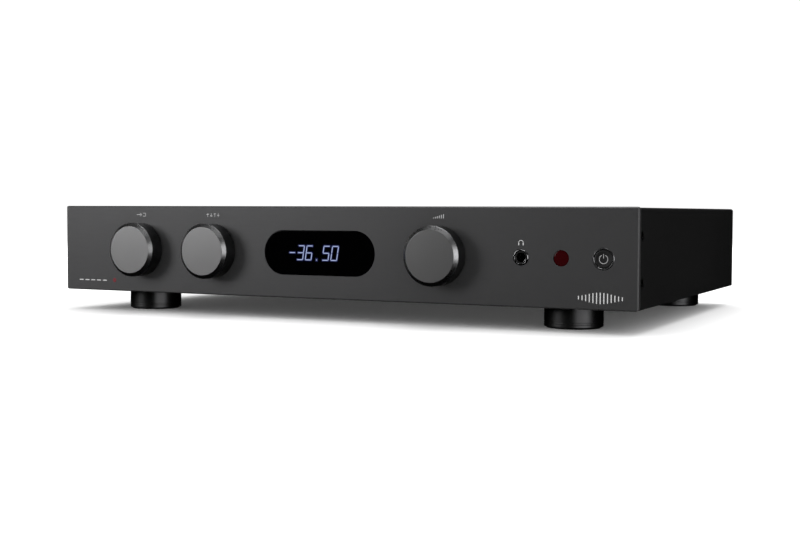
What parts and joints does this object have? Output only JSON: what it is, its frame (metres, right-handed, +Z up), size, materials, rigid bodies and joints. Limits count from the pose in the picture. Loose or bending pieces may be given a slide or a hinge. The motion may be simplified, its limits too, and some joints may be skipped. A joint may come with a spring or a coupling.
{
  "type": "integrated amplifier",
  "caption": "Slim full-width hi-fi amplifier: black metal case on round feet, turned front knobs, display window, headphone socket, power button, and terminals at the back.",
  "frame": {"origin": "centre of the bounding box, on the surface the feet stand on", "axes": "+Z up, the front plate faces -Y, +X to the right seen from the front"},
  "size_m": [0.445, 0.3274, 0.0784],
  "materials": {
    "fascia_black": "fine bead-blasted black anodising",
    "knob_grey": "turned, blasted and anodised grey-black",
    "case_black": "fine-textured black powder coat",
    "frame_steel": "zinc-plated sheet",
    "foot_black": "turned black anodising",
    "rubber": "matt",
    "window_black": "polished acrylic",
    "display_dark": "glass display face",
    "board_green": "solder mask",
    "board_black": "moulded",
    "nickel": "bright plating",
    "hardware": "zinc plating",
    "screw_black": "black zinc",
    "remote_red": "dark red filter",
    "bezel_black": "satin anodising",
    "button_black": "satin anodising",
    "winding": "varnished wire under clear tape",
    "capacitor": "shrunk sleeve",
    "sink_grey": "mill finish",
    "relay_white": "moulded",
    "gold": "gold plating",
    "plastic_black": "moulded",
    "cap_black": "moulded",
    "cap_red": "moulded",
    "ribbon_grey": "flat cable",
    "lead_brown": "PVC sleeve",
    "lead_red": "PVC sleeve"
  },
  "bodies": {
    "case": {"front_fascia": "fascia_black", "front_frame": "frame_steel", "chassis_tray": "case_black", "rear_panel": "case_black", "top_cover": "case_black", "display_window": "window_black", "display_module": "display_dark", "front_board": "board_green", "encoders": "hardware", "panel_nuts": "nickel", "headphone_jack": "nickel", "ir_window": "remote_red", "ir_receiver": "board_black", "power_bezel": "bezel_black", "power_switch": "board_black", "foot_front_left": "foot_black", "foot_front_right": "foot_black", "foot_rear_left": "foot_black", "foot_rear_right": "foot_black", "foot_pads": "rubber", "foot_screws": "hardware", "case_screws": "screw_black", "standoffs": "hardware", "board_screws": "hardware", "transformer": "winding", "transformer_pads": "rubber", "transformer_clamp": "hardware", "transformer_bolt": "hardware", "main_board": "board_green", "reservoir_caps": "capacitor", "heatsink": "sink_grey", "output_transistors": "board_black", "speaker_relays": "relay_white", "input_board": "board_green", "phono_sockets": "gold", "optical_sockets": "plastic_black", "trigger_jack": "nickel", "speaker_posts": "gold", "mains_inlet": "plastic_black", "switch_housing": "plastic_black", "ribbon_cable": "ribbon_grey", "mains_leads": "lead_brown", "speaker_leads": "lead_red"},
    "select": {"select_knob": "knob_grey", "select_shaft": "hardware"},
    "mode": {"mode_knob": "knob_grey", "mode_shaft": "hardware"},
    "volume": {"volume_knob": "knob_grey", "volume_shaft": "hardware"},
    "power_button": {"power_button": "button_black"},
    "mains_rocker": {"mains_rocker": "plastic_black"},
    "fuse_drawer": {"fuse_drawer": "plastic_black"},
    "collar_1": {"post_collar_1": "gold"},
    "cap_1": {"post_cap_1": "cap_black"},
    "collar_2": {"post_collar_2": "gold"},
    "cap_2": {"post_cap_2": "cap_red"},
    "collar_3": {"post_collar_3": "gold"},
    "cap_3": {"post_cap_3": "cap_black"},
    "collar_4": {"post_collar_4": "gold"},
    "cap_4": {"post_cap_4": "cap_red"}
  },
  "joints": [
    {"name": "select_turn", "type": "hinge", "parent": "case", "child": "select", "pos_m": [-0.151, -0.14975, 0.0464], "axis": [0, 1, 0], "continuous": true},
    {"name": "mode_turn", "type": "hinge", "parent": "case", "child": "mode", "pos_m": [-0.087, -0.14975, 0.0464], "axis": [0, 1, 0], "continuous": true},
    {"name": "volume_turn", "type": "hinge", "parent": "case", "child": "volume", "pos_m": [0.09, -0.14975, 0.0464], "axis": [0, 1, 0], "continuous": true},
    {"name": "power_press", "type": "slide", "parent": "case", "child": "power_button", "axis": [0, 1, 0], "range_m": [0, 0.0008], "stiffness_N_per_m": 1500, "springref_m": -0.0004},
    {"name": "rocker_tilt", "type": "hinge", "parent": "case", "child": "mains_rocker", "pos_m": [-0.146, 0.13725, 0.0464], "axis": [1, 0, 0], "range_deg": [0, 16]},
    {"name": "fuse_slide", "type": "slide", "parent": "case", "child": "fuse_drawer", "axis": [0, 1, 0], "range_m": [0, 0.014]},
    {"name": "collar_slide_1", "type": "slide", "parent": "case", "child": "collar_1", "axis": [0, 1, 0], "range_m": [0, 0.004]},
    {"name": "cap_turn_1", "type": "hinge", "parent": "collar_1", "child": "cap_1", "pos_m": [-0.112, 0.15525, 0.0464], "axis": [0, 1, 0], "range_deg": [0, 1441]},
    {"name": "collar_slide_2", "type": "slide", "parent": "case", "child": "collar_2", "axis": [0, 1, 0], "range_m": [0, 0.004]},
    {"name": "cap_turn_2", "type": "hinge", "parent": "collar_2", "child": "cap_2", "pos_m": [-0.09, 0.15525, 0.0464], "axis": [0, 1, 0], "range_deg": [0, 1441]},
    {"name": "collar_slide_3", "type": "slide", "parent": "case", "child": "collar_3", "axis": [0, 1, 0], "range_m": [0, 0.004]},
    {"name": "cap_turn_3", "type": "hinge", "parent": "collar_3", "child": "cap_3", "pos_m": [-0.06, 0.15525, 0.0464], "axis": [0, 1, 0], "range_deg": [0, 1441]},
    {"name": "collar_slide_4", "type": "slide", "parent": "case", "child": "collar_4", "axis": [0, 1, 0], "range_m": [0, 0.004]},
    {"name": "cap_turn_4", "type": "hinge", "parent": "collar_4", "child": "cap_4", "pos_m": [-0.038, 0.15525, 0.0464], "axis": [0, 1, 0], "range_deg": [0, 1441]}
  ],
  "couplings": [
    {"joint": "cap_turn_1", "follows": "collar_slide_1", "rad_per_m": 6283.2},
    {"joint": "cap_turn_2", "follows": "collar_slide_2", "rad_per_m": 6283.2},
    {"joint": "cap_turn_3", "follows": "collar_slide_3", "rad_per_m": 6283.2},
    {"joint": "cap_turn_4", "follows": "collar_slide_4", "rad_per_m": 6283.2}
  ]
}
